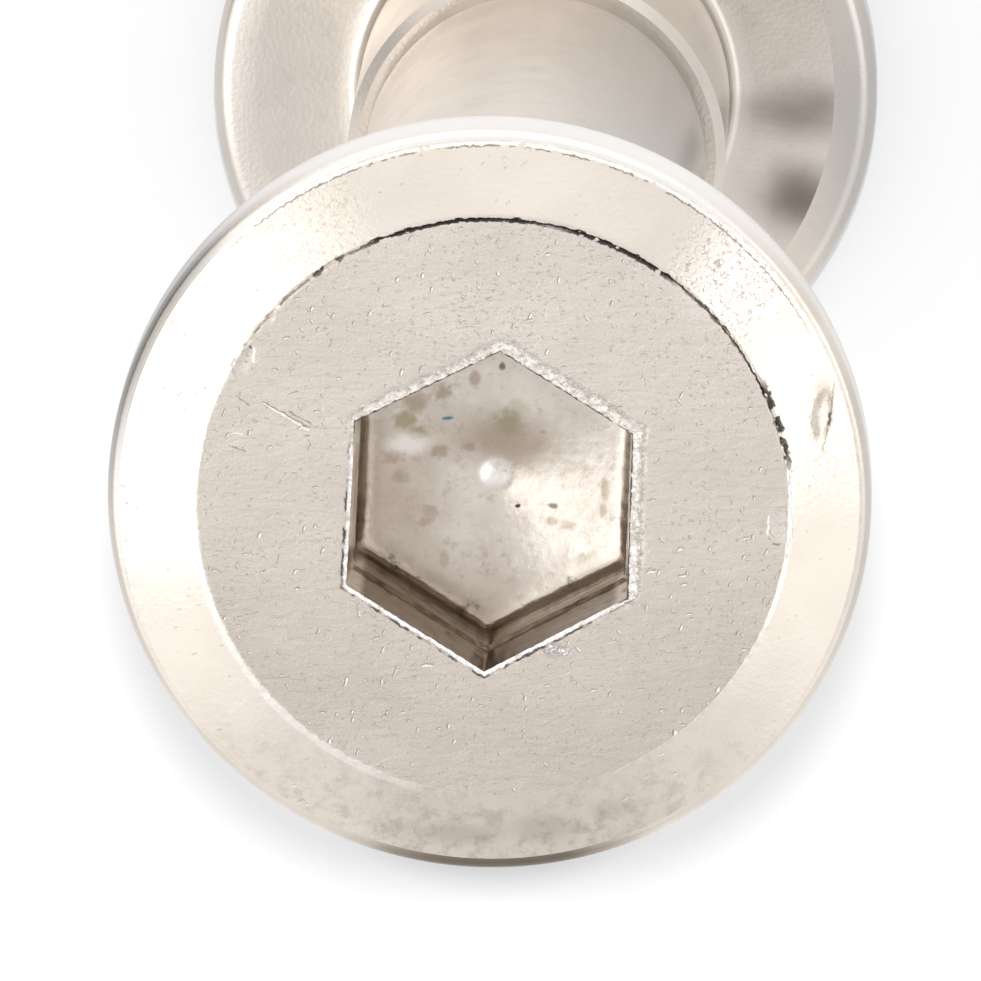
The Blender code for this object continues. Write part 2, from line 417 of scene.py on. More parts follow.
def flecked(tree, where, colour, sizes):
    # short straight scratches over a colour: peaks of a stretched noise, with a painted highlight on one side
    # and painted shade on the other
    height = None
    for turnDeg, size, share, strength, seed in sizes:
        moved = vector(tree, "ADD", where, (seed, seed * 0.7, 0))
        crowd = times(tree, calc(tree, "SUBTRACT", grain(tree, moved, 0.45, 1), 0.5), 0.22)
        turned = turnedBy(tree, moved, math.radians(turnDeg))
        drawn = vector(tree, "MULTIPLY", turned, (8.5 / size, 2.4 / size, 1))
        peaks = [grain(tree, vector(tree, "ADD", drawn, (off, 0, 0)), 1, 1) for off in (0, 0.30)]
        lit, dark = [spread(tree, calc(tree, "ADD", peak, crowd), share, share + 0.05) for peak in peaks]
        # painted shade on each scratch's dark side, then a painted highlight on its lit side
        colour = tint(tree, times(tree, dark, strength), colour, nickel["stain"])
        colour = tint(tree, times(tree, lit, strength), colour, nickel["pale"])
        height = lit if height is None else calc(tree, "ADD", height, lit)
    return colour, height


def blankMaterial(name):
    made = bpy.data.materials.new(name)
    made.use_nodes = True
    tree = made.node_tree
    return made, tree, tree.nodes["Principled BSDF"]


def bumped(tree, height, distance, before=None):
    inputs = {"Height": height, "Distance": distance * mm}
    if before is not None:
        inputs["Normal"] = before
    return put(tree, "ShaderNodeBump", inputs).outputs["Normal"]


def finish(tree, shader, colour, rough, normal):
    shader.inputs["Metallic"].default_value = 1.0
    tree.links.new(colour, shader.inputs["Base Color"])
    tree.links.new(normal, shader.inputs["Normal"])
    if isinstance(rough, bpy.types.NodeSocket):
        tree.links.new(rough, shader.inputs["Roughness"])
    else:
        shader.inputs["Roughness"].default_value = rough


nickel = {
    "bright": (0.770, 0.700, 0.626),
    "dull": (0.660, 0.592, 0.522),
    "faceBright": (0.640, 0.580, 0.523),
    "faceDull": (0.512, 0.460, 0.410),
    "floorBright": (0.660, 0.600, 0.540),
    "floorDull": (0.540, 0.482, 0.425),
    "clean": (0.84, 0.80, 0.755),
    "stain": (0.34, 0.265, 0.20),
    "soot": (0.17, 0.145, 0.12),
    "dark": (0.030, 0.025, 0.023),
    "pale": (0.94, 0.92, 0.89),
    "white": (0.99, 0.98, 0.965),
    "green": (0.05, 0.20, 0.23),
    "olive": (0.30, 0.26, 0.16),
    "shadeGrey": (0.46, 0.44, 0.42),
}

# lines round the near head: the crack along the bevel's inner edge, its light run-out, painted highlights
# along the face's edge at the lower left and on the right, and at the outer edge a dark line with a painted
# highlight on the rim's rounding outside it
arcKeys = ["radius", "east", "width", "jag", "aim", "half", "fade", "gaps", "share", "colour"]
nearArcs = [
    dict(zip(arcKeys, values))
    for values in (
        (5.425, 0.07, 0.024, 0.045, 68, 42, 12, 0.34, 0.95, "dark"),
        (5.405, 0.07, 0.055, 0.060, 64, 8, 7, 0.36, 0.95, "dark"),
        (5.410, 0.07, 0.042, 0.055, 96, 13, 10, 0.40, 0.95, "dark"),
        (5.415, 0.07, 0.040, 0.070, 42, 7, 5, 0.50, 0.8, "soot"),
        (5.480, 0.07, 0.080, 0.10, 17, 6, 5, 0.42, 0.95, "dark"),
        (5.420, 0.07, 0.060, 0.08, 123, 2, 3, 0.44, 0.8, "dark"),
        (5.415, 0.07, 0.026, 0.06, 130, 12, 10, 0.44, 0.6, "soot"),
        (5.460, 0.07, 0.100, 0.08, 212, 34, 18, 0.28, 0.42, "pale"),
        (5.460, 0.07, 0.055, 0.05, -8, 10, 10, 0.30, 0.7, "pale"),
        (6.735, 0.0, 0.045, 0.06, 82, 44, 16, 0.30, 0.85, "pale"),
        (6.680, 0.0, 0.018, 0.07, 82, 46, 12, 0.42, 0.75, "soot"),
    )
]

# scratches and edges of dents on the near head: ends, half width, share, colour; the pale lines are painted
# highlights on lit edges, and a pale line beside a soot or dark one pairs a painted highlight with painted
# shade
nearLines = [
    ((-4.14, 2.01), (-3.23, 1.49), 0.022, 0.60, "soot"),
    ((-4.11, 1.97), (-3.26, 1.44), 0.018, 0.90, "pale"),
    ((-3.65, 1.83), (-3.20, 1.55), 0.020, 0.60, "soot"),
    ((-4.60, 2.10), (-4.34, 1.90), 0.022, 0.50, "soot"),
    ((-4.69, 1.15), (-4.41, 1.03), 0.022, 0.60, "soot"),
    ((-4.66, 1.41), (-4.40, 1.32), 0.022, 0.60, "pale"),
    ((-4.26, 3.02), (-4.28, 2.71), 0.030, 0.95, "pale"),
    ((-4.37, 3.02), (-4.28, 2.99), 0.035, 0.95, "dark"),
    ((-4.00, 3.52), (-3.96, 3.58), 0.035, 0.70, "soot"),
    ((6.31, 2.36), (6.22, 1.55), 0.026, 0.55, "soot"),
    ((6.24, 1.78), (6.20, 1.50), 0.050, 0.75, "dark"),
    ((6.20, 1.50), (6.10, 1.06), 0.024, 0.60, "soot"),
    ((5.95, 2.05), (5.87, 1.32), 0.020, 0.35, "stain"),
    ((5.11, -0.47), (5.13, -0.04), 0.024, 0.95, "pale"),
    ((5.18, -0.61), (5.34, -0.62), 0.032, 0.75, "soot"),
    ((5.58, -0.32), (5.52, -0.59), 0.020, 0.55, "soot"),
]

# discoloured patches on the near head: place, half sizes, softness, share, colour; the white one at the
# bevel's upper right is a painted highlight
nearPatches = [
    (6.10, 2.12, 0.16, 0.26, 0.5, 0.45, "stain"),
    (6.08, 1.55, 0.14, 0.24, 0.6, 0.25, "stain"),
    (5.30, -0.18, 0.20, 0.34, 0.4, 0.22, "clean"),
    (-1.45, -5.55, 0.9, 0.5, 0.8, 0.12, "stain"),
    (-0.6, -6.25, 0.75, 0.20, 0.7, 0.35, "stain"),
    (1.0, -6.1, 0.55, 0.28, 0.7, 0.30, "stain"),
    (2.2, -5.75, 0.30, 0.18, 0.7, 0.25, "stain"),
    (4.50, 4.42, 0.80, 0.80, 0.7, 0.36, "white"),
]


def patched(tree, where, colour, patches):
    for x, y, wide, tall, soft, share, shade in patches:
        patch = spotShare(tree, where, x, y, wide, tall, soft)
        colour = tint(tree, times(tree, patch, share), colour, nickel[shade])
    return colour


def ringed(tree, where, colour, arcs):
    for arc in arcs:
        colour = tint(tree, arcShare(tree, where, arc), colour, nickel[arc["colour"]])
    return colour


def marked(tree, where, colour, look):
    # lays a head's patches, scratches and lines over a colour
    ragged = warped(tree, where, 9.0, 0.10)
    colour = patched(tree, ragged, colour, look["patches"])
    for start, end, width, share, shade in look["lines"]:
        line = lineShare(tree, ragged, start, end, width)
        colour = tint(tree, times(tree, line, share), colour, nickel[shade])
    return ringed(tree, where, colour, look["arcs"])


mouthMarks = {
    "ragged": 1.9,  # how ragged the crushed band's edge is, counted in its width
    "bandEnd": (0.70, 1.10),  # shares of the width between which the band ends
    "bandShare": 0.74,
    "patch": (1.25, -2.66, 0.26, 0.13, 0.5),  # place, half sizes and softness
    "jag": 0.11,
    "aboveFrom": (0.9, 1.5),  # the upper and right sides have a line of painted shade in place of the burr's painted highlight
    "rightFrom": (2.2, 2.5),
    "burrEnd": (0.045, 0.075),  # distances from the mouth
    "lineOff": 0.092,
    "lineEnd": (0.008, 0.030),
    "lineShare": 0.85,
    "mouthShadeEnd": (0.010, 0.034),
    "mouthShadeShare": 0.9,
}


def crushedMouth(tree, where, colour, look):
    # the hammered band round the socket's mouth, partly painted sheen, a painted highlight on its burr with
    # painted shade beside it, and painted shade along the mouth's upper and right sides
    m = mouthMarks
    across = split(tree, where)
    jitter = calc(tree, "SUBTRACT", grain(tree, where, 6, 5, 0.7), 0.5)
    band = hexFar(tree, where, look["mouthSides"], look["crushed"])
    ragged = calc(tree, "ADD", band, times(tree, jitter, m["ragged"]))
    crushed = spread(tree, ragged, *m["bandEnd"], 1, 0)
    lump = grain(tree, where, 9, 4, 0.72, 0.8)
    # the crushed band's pale mottling is partly worn metal and partly a painted sheen
    wear = tint(tree, spread(tree, lump, 0.44, 0.58), nickel["bright"], nickel["white"])
    wear = tint(tree, spread(tree, lump, 0.44, 0.36, 0, 0.45), wear, nickel["stain"])
    patch = spotShare(tree, where, *m["patch"])
    patch = times(tree, patch, spread(tree, lump, 0.47, 0.55), look["patchShare"])
    crushed = calc(tree, "MAXIMUM", crushed, patch)
    colour = tint(tree, times(tree, crushed, m["bandShare"]), colour, wear)
    far = hexFar(tree, where, look["mouthSides"], [1] * 6)
    far = calc(tree, "ADD", far, times(tree, jitter, m["jag"]))
    above = spread(tree, across[1], *m["aboveFrom"])
    right = spread(tree, across[0], *m["rightFrom"])
    shadedSides = calc(tree, "MAXIMUM", above, right)
    uneven = spread(tree, grain(tree, where, 4, 3), 0.35, 0.65, 0.45, 1.0)
    # a painted highlight on the burr along the lower and left sides
    burrHighlight = times(tree, spread(tree, far, *m["burrEnd"], 1, 0), rest(tree, shadedSides), uneven)
    colour = tint(tree, burrHighlight, colour, nickel["white"])
    # a broken line of painted shade just outside the burr
    off = calc(tree, "ABSOLUTE", calc(tree, "SUBTRACT", far, m["lineOff"]))
    line = spread(tree, off, *m["lineEnd"], 1, 0)
    broken = spread(tree, grain(tree, where, 2.6, 2), 0.42, 0.52)
    shade = times(tree, line, rest(tree, shadedSides), broken)
    colour = tint(tree, times(tree, shade, m["lineShare"]), colour, nickel["dark"])
    # painted shade along the mouth's upper and right sides
    mouthEdgeShade = times(tree, spread(tree, far, *m["mouthShadeEnd"], 1, 0), shadedSides, m["mouthShadeShare"])
    return tint(tree, mouthEdgeShade, colour, nickel["dark"]), crushed, lump


relief = {  # bump distances in millimetres; a negative one sinks
    "facePits": 0.010,
    "faceWaves": 0.026,
    "faceCuts": -0.016,
    "crushedLumps": 0.035,
    "bevelPits": 0.005,
    "bevelCuts": -0.010,
    "socketPits": 0.007,
    "socketBands": 0.010,
}


def faceNickel(name, look):
    made, tree, shader = blankMaterial(name)
    where = millimetres(tree)
    across = split(tree, where)
    speck = grain(tree, where, 9, 3, 0.6)
    tone = spread(tree, across[1], -5.2, 3.5, 0, 0.75)
    cloud = spread(tree, grain(tree, where, 0.5, 3), 0.3, 0.7, -0.1, 0.3)
    tone = calc(tree, "ADD", tone, cloud, clamp=True)
    colour = tint(tree, tone, nickel["faceDull"], nickel["faceBright"])
    colour = tint(tree, spread(tree, speck, 0.58, 0.8, 0, 0.2), colour, nickel["stain"])
    colour, cuts = flecked(tree, where, colour, look["flecks"])
    colour = marked(tree, where, colour, look)
    colour, crushed, lump = crushedMouth(tree, where, colour, look)
    combed = vector(tree, "MULTIPLY", where, (0.5, 1.5, 1))
    normal = bumped(tree, grain(tree, where, 18, 4, 0.7), relief["facePits"])
    normal = bumped(tree, grain(tree, combed, 3.2, 4, 0.62, 0.6), relief["faceWaves"], normal)
    normal = bumped(tree, cuts, relief["faceCuts"], normal)
    normal = bumped(tree, times(tree, lump, crushed), relief["crushedLumps"], normal)
    rough = spread(tree, speck, 0.3, 0.7, look["rough"] - 0.05, look["rough"] + 0.06)
    finish(tree, shader, colour, rough, normal)
    return made


def bevelNickel(name, look):
    made, tree, shader = blankMaterial(name)
    where = millimetres(tree)
    across = split(tree, where)
    low = spread(tree, across[1], -6.6, -3.2, 1, 0)
    tone = spread(tree, grain(tree, where, 0.9, 3), 0.3, 0.7, 0.7, 1.0)
    colour = tint(tree, tone, nickel["dull"], nickel["bright"])
    blotch = spread(tree, grain(tree, where, 2.8, 6, 0.72), 0.44, 0.68, 0, 0.46)
    colour = tint(tree, times(tree, low, blotch), colour, nickel["stain"])
    colour, cuts = flecked(tree, where, colour, look["bevelFlecks"])
    colour = marked(tree, where, colour, look)
    net = crackle(tree, where, 8.0, 0.040, 0.44)
    for aim, half, fade, share in look["crazed"]:
        region = times(tree, net, sectorShare(tree, where, aim, half, fade), share)
        colour = tint(tree, region, colour, nickel["stain"])
    normal = bumped(tree, grain(tree, where, 9, 4, 0.62), relief["bevelPits"])
    normal = bumped(tree, cuts, relief["bevelCuts"], normal)
    finish(tree, shader, colour, look["rough"], normal)
    return made


def plainNickel(name, look):
    made, tree, shader = blankMaterial(name)
    where = millimetres(tree)
    tone = spread(tree, grain(tree, where, 0.8, 4), 0.3, 0.7, 0.4, 1.0)
    colour = tint(tree, tone, nickel["dull"], nickel["bright"])
    cloud = spread(tree, grain(tree, where, 1.3, 5, 0.6), 0.55, 0.8, 0, look["stain"])
    colour = tint(tree, cloud, colour, nickel["stain"])
    colour = patched(tree, warped(tree, where, 0.9, 0.5), colour, look["patches"])
    colour = ringed(tree, where, colour, look["arcs"])
    normal = bumped(tree, grain(tree, where, 10, 3), look["bump"])
    finish(tree, shader, colour, look["rough"], normal)
    return made


# patches on the near socket's floor, with the same values
floorPatches = [
    (0.05, 0.05, 0.31, 0.29, 0.15, 0.65, "clean"),
    (-2.0, -0.4, 0.95, 1.5, 0.6, 0.40, "stain"),
    (-0.8, -1.9, 1.2, 0.6, 0.8, 0.22, "stain"),
    (0.05, -2.3, 0.9, 0.5, 0.8, 0.20, "stain"),
    (-1.2, 1.0, 0.9, 0.7, 0.8, 0.08, "stain"),
    # the next two broad patches above the nub are painted shade
    (0.10, 0.72, 0.85, 0.42, 0.8, 0.55, "stain"),
    (0.55, 0.45, 0.45, 0.32, 0.8, 0.30, "stain"),
    (0.27, 1.02, 0.24, 0.22, 0.5, 0.55, "olive"),
    (0.45, 1.30, 0.20, 0.16, 0.5, 0.20, "olive"),
    (-1.61, 1.10, 0.20, 0.15, 0.4, 0.62, "olive"),
    (-1.39, 0.84, 0.20, 0.13, 0.4, 0.62, "olive"),
    (-1.42, 1.43, 0.22, 0.17, 0.4, 0.58, "stain"),
    (-0.91, 1.63, 0.16, 0.13, 0.4, 0.60, "stain"),
    (-0.32, 1.88, 0.10, 0.16, 0.4, 0.52, "stain"),
    (0.18, 2.12, 0.06, 0.08, 0.4, 0.80, "soot"),
    (-1.01, 0.46, 0.20, 0.12, 0.4, 0.60, "stain"),
    (-0.42, 0.53, 0.10, 0.09, 0.4, 0.55, "stain"),
    (-1.83, 0.39, 0.18, 0.14, 0.4, 0.58, "stain"),
    (-1.71, 0.02, 0.16, 0.13, 0.4, 0.52, "stain"),
    (-1.55, 0.62, 0.35, 0.20, 0.5, 0.40, "clean"),
    (-1.14, -0.67, 0.13, 0.10, 0.4, 0.40, "stain"),
    (-1.23, -0.86, 0.15, 0.08, 0.4, 0.45, "stain"),
    (-0.89, -1.56, 0.09, 0.16, 0.4, 0.35, "stain"),
    (0.93, 0.85, 0.05, 0.04, 0.4, 0.50, "stain"),
    (1.12, -0.56, 0.09, 0.05, 0.4, 0.75, "soot"),
    (0.47, -0.59, 0.045, 0.04, 0.4, 0.95, "dark"),
    (1.10, -0.84, 0.10, 0.08, 0.4, 0.50, "stain"),
    (1.43, -0.90, 0.13, 0.09, 0.4, 0.45, "stain"),
    (2.08, -0.21, 0.08, 0.22, 0.4, 0.60, "stain"),
    (2.05, -0.61, 0.07, 0.14, 0.4, 0.55, "stain"),
    (1.83, -1.54, 0.22, 0.13, 0.4, 0.45, "olive"),
    (0.53, -2.28, 0.06, 0.07, 0.4, 0.90, "soot"),
    (-2.29, -1.01, 0.05, 0.06, 0.4, 0.90, "dark"),
    (-0.82, -2.40, 0.11, 0.07, 0.5, 0.90, "dark"),
    (-0.82, 1.10, 0.10, 0.035, 0.4, 0.90, "green"),
]
patchGain = 1.4  # of their shares
smallPatch = 0.12  # narrower ones keep a tight outline

wallMarks = {  # places across the socket and depths between which one tone turns into the next
    "innerRight": (-0.3, 0.8),
    "outerRight": (-0.3, 0.5),
    "sideRight": (-1, 1),
    "sideFrom": (2.25, 2.4),
    "innerFrom": (1.15, 1.9),
    "sideEnd": (2.25, 2.05),
    "sideShare": 0.9,
    "ridgeOff": 0.05,
    "ridgeEnd": (0.02, 0.06),
    "ridgeShare": 0.65,
    "wallFrom": (2.34, 2.14),
    "wallFootShadeFrom": (-0.56, -0.12),
}


def socketNickel(name, look):
    # the floor's stained cone, with some painted shade, and the brown walls, whose tones are painted shade
    # and reflection, one running softly into the other
    w = wallMarks
    made, tree, shader = blankMaterial(name)
    where = millimetres(tree)
    across = split(tree, where)
    depth = calc(tree, "ABSOLUTE", calc(tree, "SUBTRACT", across[2], look["faceHeight"]))
    tone = spread(tree, grain(tree, where, 1.1, 5, 0.6), 0.3, 0.7, 0.15, 1.0)
    floor = tint(tree, tone, nickel["floorDull"], nickel["floorBright"])
    loose = warped(tree, where, 7.0, 0.30)
    tight = warped(tree, where, 9.0, 0.07)
    for x, y, wide, tall, soft, share, shade in look["patches"]:
        ragged = tight if wide < smallPatch or shade == "clean" else loose
        softness = soft if wide < smallPatch else min(0.9, soft + 0.15)
        patch = spotShare(tree, ragged, x, y, wide, tall, softness)
        floor = tint(tree, times(tree, patch, min(0.95, share * patchGain)), floor, nickel[shade])
    mottle = spread(tree, grain(tree, where, 4.2, 6, 0.7), 0.50, 0.72, 0, 0.5)
    floor = tint(tree, mottle, floor, nickel["stain"])
    along = vector(tree, "MULTIPLY", where, (1, 1, 8))
    bands = grain(tree, along, 1.2, 4, 0.6)
    sideways = spread(tree, calc(tree, "ABSOLUTE", across[0]), *w["sideFrom"])
    # the walls' tones are painted shade and reflection: a darker inner band by the floor, other tones on the
    # right, and paler sides
    tones = []
    for part in ("inner", "outer", "side"):
        right = spread(tree, across[0], *w[part + "Right"])
        left = look[part + "Wall"]
        tones.append(tint(tree, right, left, look.get(part + "WallRight", left)))
    inner, outer, side = tones
    wall = tint(tree, spread(tree, depth, *w["innerFrom"]), outer, inner)
    sideways = times(tree, sideways, spread(tree, depth, *w["sideEnd"]), w["sideShare"])
    wall = tint(tree, sideways, wall, side)
    wall = tint(tree, spread(tree, bands, 0.35, 0.7, 0, 0.25), wall, nickel["dull"])
    # a painted highlight along the wall's ridge
    off = calc(tree, "ABSOLUTE", calc(tree, "SUBTRACT", depth, socketShape["ridgeDepth"] + w["ridgeOff"]))
    line = spread(tree, off, *w["ridgeEnd"], 1, 0)
    kept = spread(tree, grain(tree, where, 1.6, 2), 0.36, 0.5)
    wall = tint(tree, times(tree, line, kept, w["ridgeShare"]), wall, nickel["bright"])
    grime = spread(tree, grain(tree, where, 3.4, 5, 0.65), 0.56, 0.7, 0, 0.6)
    wall = tint(tree, grime, wall, nickel["dark"])
    # painted shade along the foot of the walls, stronger towards the lower side
    sides = [(look["cornerDeg"] + 30 + 60 * i, socketShape["floor"]) for i in range(6)]
    middle = vector(tree, "SUBTRACT", warped(tree, where, 2.4, 0.16), (look["floorEast"], 0, 0))
    far = hexFar(tree, middle, sides, [1] * 6, 0.55)
    low = spread(tree, across[1], 0.2, -1.3, 0.6, 1)
    wallFootShade = times(tree, spread(tree, far, *w["wallFootShadeFrom"]), low)
    inWall = spread(tree, depth, *w["wallFrom"])
    colour = tint(tree, calc(tree, "MAXIMUM", wallFootShade, inWall), floor, wall)
    normal = bumped(tree, grain(tree, where, 4, 3), relief["socketPits"])
    normal = bumped(tree, bands, relief["socketBands"], normal)
    finish(tree, shader, colour, look["rough"], normal)
    return made


zoneNames = ["floor", "wall", "lip", "face", "bevel", "rim", "under", "shank", "bore"]
socketRough = 0.22
faceRough = 0.30
bevelRough = 0.13
plainLook = {"patches": [], "arcs": [], "stain": 0.2, "bump": 0.004, "rough": 0.22}
boreLook = {**plainLook, "rough": 0.35, "stain": 0.6, "bump": 0.008}


def headFinishes(prefix, look):
    # one finish for each of the zone names, in their order
    socket = socketNickel(prefix + "Socket", {**look, "rough": socketRough, "patches": look["floorPatches"]})
    face = faceNickel(prefix + "Face", {**look, "rough": faceRough})
    return [
        socket,
        socket,
        face,
        face,
        bevelNickel(prefix + "Bevel", {**look, "rough": bevelRough}),
        plainNickel(prefix + "Rim", {**plainLook, **look["rim"]}),
        plainNickel(prefix + "Underside", {**plainLook, **look["under"]}),
        plainNickel(prefix + "Shank", {**plainLook, **look["shank"]}),
        plainNickel(prefix + "Bore", boreLook),
    ]


def turnedMesh(rings, piece, wear):
    bm = spunOutline(rings, piece["columns"], piece["cornerDeg"])
    zoneFaces(bm, rings, zoneNames)
    shapedHead(bm, rings, piece, wear)
    return bm


print("finishes ready")

barrel = {
    "top": 38.0,
    "radius": 3.5,
    "end": 8.5,
    "endChamfer": 0.30,
    "bore": 2.66,
    "countersink": 0.35,
    "boreTop": 24.7,
    "drillPointDeg": 118,
    "shankStart": 30.0,
    "cornerDeg": 87.3,
    "columns": 720,
    "mouthSides": [  # angle and distance, counter-clockwise from the upper left
        (116.7, 2.528),
        (176.8, 2.514),
        (237.3, 2.638),
        (298.5, 2.678),
        (358.5, 2.587),
        (57.5, 2.597),
    ],
    "crushed": [0.21, 0.07, 0.08, 0.09, 0.23, 0.29],  # width of the crushed band along each side
    "crushEnd": (0.75, 1.15),  # shares of the width between which the band ends
    "crushSink": 0.03,
    "crushSlope": 0.22,
    "faceEast": 0.07,  # how far the face and the socket's floor stand off the axle's middle
    "floorEast": 0.05,
}

dentKeys = ["x", "y", "turn", "long", "wide", "deep", "lip"]
nearDents = [
    dict(zip(dentKeys, values))
    for values in (
        (6.08, 1.72, 82, 0.58, 0.20, 0.032, 0.006),
        (5.25, -0.27, 92, 0.42, 0.24, 0.035, 0.008),
        (-4.46, 2.82, 60, 0.24, 0.13, 0.028, 0.008),
        (-4.60, 2.62, 140, 0.18, 0.12, 0.022, 0.006),
        (-4.05, 3.54, 50, 0.12, 0.08, 0.030, 0.008),
    )
]

nearLook = {
    **barrel,
    "faceHeight": barrel["top"],
    "patchShare": 1.0,
    "crazed": [(44, 5, 8, 0.70), (122, 4, 8, 0.36), (14, 6, 8, 0.34)],
    "arcs": nearArcs,
    "lines": nearLines,
    "patches": nearPatches,
    "floorPatches": floorPatches,
    "flecks": [
        (22, 0.66, 0.712, 0.85, 3.0),
        (-38, 0.55, 0.718, 0.80, 11.0),
        (80, 0.70, 0.722, 0.65, 29.0),
        (-80, 0.40, 0.700, 0.50, 41.0),
        (12, 1.0, 0.765, 0.80, 17.0),
    ],
    "bevelFlecks": [(60, 0.55, 0.75, 0.3, 5.0)],
    # tones of the socket's walls, painted shade and reflection
    "outerWall": (0.29, 0.226, 0.172),
    "outerWallRight": (0.205, 0.158, 0.118),
    "innerWall": (0.31, 0.25, 0.195),
    "innerWallRight": (0.64, 0.57, 0.50),
    "sideWall": (0.97, 0.91, 0.85),
    "sideWallRight": (0.60, 0.56, 0.53),
    "rim": {
        "stain": 0.1,
        # painted light on the rim: a painted highlight along the top, painted shade along the bottom and at
        # the upper left, and greyer painted reflections at the two sides
        "patches": [
            (1.2, 7.2, 5.4, 3.0, 0.5, 0.75, "pale"),
            (0.2, -7.1, 3.2, 0.80, 0.6, 0.85, "stain"),
            (0.3, -7.2, 2.8, 0.75, 0.6, 0.95, "soot"),
            (-6.4, 3.1, 2.4, 3.0, 0.4, 0.95, "shadeGrey"),
            (-6.2, 3.3, 1.3, 1.8, 0.6, 0.50, "soot"),
            (7.1, -0.6, 1.0, 3.4, 0.6, 0.45, "shadeGrey"),
            (-7.1, -0.9, 0.9, 3.0, 0.6, 0.30, "shadeGrey"),
        ],
        "arcs": [arc for arc in nearArcs if arc["radius"] > 6.7],
    },
    "under": {"rough": 0.26, "stain": 0.35},
    # painted shade on the shank's right side
    "shank": {"patches": [(3.2, 2.0, 2.2, 2.6, 0.6, 0.85, "shadeGrey")]},
}


def crushWidth(angle, piece):
    # width of the crushed band at an angle; one side's runs softly into the next
    widths = piece["crushed"]
    side = ((angle - math.radians(piece["cornerDeg"])) % math.tau) / (math.pi / 3)
    here, share = int(side) % 6, side - int(side)
    before, after = widths[(here - 1) % 6], widths[(here + 1) % 6]
    width = widths[here]
    width += (before - width) * 0.5 * (1 - smoothStep(0, 0.14, share))
    width += (after - width) * 0.5 * smoothStep(0.86, 1, share)
    return width


def atMouth(circle):
    inWall = circle["zone"] == "wall" and circle["depth"] < socketShape["crushedWall"]
    return inWall or circle["zone"] == "lip"


def crushSink(piece, width, fromMouth):
    # how much of the crushed band is left at a place, and how far it is sunk there
    start, end = piece["crushEnd"]
    inBand = 1 - smoothStep(width * start, width * end, fromMouth)
    return inBand, inBand * (piece["crushSink"] + piece["crushSlope"] * max(0.0, width - fromMouth))


nearRagged = {
    "bandWidth": 0.35,
    "bandLumps": 0.035,
    "mouth": 0.012,
    "wall": 0.012,
    "wallEnd": 2.4,
    "edge": 0.022,
    "edgeReach": (0.03, 0.14),  # distances from the face's edge between which its raggedness ends
    "grooveOff": 0.02,
    "grooveWidth": 0.028,
    "groove": 0.6,
    "outerEdge": 0.012,
    "outerReach": 0.05,
    "dentStart": 4,
}


def nearWear(angle, reach, depth, circle):
    n = nearRagged
    fromMouth = circle["r"] - socketShape["mouth"]
    x, y = reach * math.cos(angle), reach * math.sin(angle)
    if atMouth(circle):
        width = crushWidth(angle, barrel)
        width *= 1 + n["bandWidth"] * roundNoise(angle, 9, 4.0)
        inBand, sunk = crushSink(barrel, width, fromMouth)
        depth += sunk
        lumps = noise.noise(Vector((x * 9, y * 9, 3.0))) + 0.6 * noise.noise(Vector((x * 21, y * 21, 8.0)))
        depth += inBand * n["bandLumps"] * lumps
        if fromMouth < 0.02:
            reach += n["mouth"] * roundNoise(angle, 22, 1.0)
    if circle["zone"] == "wall" and circle["depth"] < n["wallEnd"]:
        reach += n["wall"] * noise.noise(Vector((x * 6, y * 6, circle["depth"] * 1.2)))
    onFront = circle["zone"] in ("face", "bevel")
    fromEdge = circle["r"] - headShape["faceRadius"]
    if abs(fromEdge) < n["edgeReach"][1] and onFront:
        upper = smoothStep(-0.1, 0.6, math.sin(angle + math.radians(18)))
        ragged = roundNoise(angle, 30, 2.0) + 0.7 * roundNoise(angle, 75, 6.0)
        reach += (1 - smoothStep(*n["edgeReach"], abs(fromEdge))) * n["edge"] * ragged
        groove = math.exp(-((fromEdge - n["grooveOff"]) / n["grooveWidth"]) ** 2)
        depth += upper * groove * headShape["edgeGroove"] * (1 + n["groove"] * ragged)
    outer = headShape["radius"] - headShape["frontRound"]
    if abs(circle["r"] - outer) < n["outerReach"] and circle["zone"] == "bevel":
        reach += n["outerEdge"] * (roundNoise(angle, 34, 9.0) + 0.6 * roundNoise(angle, 80, 5.0))
    if onFront and reach > n["dentStart"]:
        for dent in nearDents:
            if abs(x - dent["x"]) < 1 and abs(y - dent["y"]) < 1:
                depth += dentPush(x, y, dent)
    return reach, max(0.0, depth)


def barrelRings():
    b = barrel
    top = b["top"]
    rings = headRings(b["radius"])
    for z in steps(b["shankStart"], b["end"] + b["endChamfer"] + 0.2, 4):
        rings.append(ring(b["radius"], top - z, "shank"))
    rings.append(ring(b["radius"], top - b["end"] - b["endChamfer"], "shank"))
    rings.append(ring(b["radius"] - b["endChamfer"], top - b["end"], "shank"))
    rings.append(ring(b["bore"] + b["countersink"], top - b["end"], "shank"))
    rings.append(ring(b["bore"], top - b["end"] - b["countersink"], "bore"))
    rings.append(ring(b["bore"], top - b["boreTop"], "bore"))
    point = b["bore"] / math.tan(math.radians(b["drillPointDeg"] / 2))
    rings.append(ring(0, top - b["boreTop"] - point, "bore"))
    return rings


bm = turnedMesh(barrelRings(), barrel, nearWear)
bmesh.ops.translate(bm, vec=(0, 0, barrel["top"]), verts=bm.verts)
axleBarrel = pieceFrom(bm, "axleBarrel", headFinishes("barrel", nearLook), headShape["sharpDeg"])
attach(axleBarrel, "barrel")
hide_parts("axle_barrel")
print("barrel:", len(axleBarrel.data.polygons), "faces")

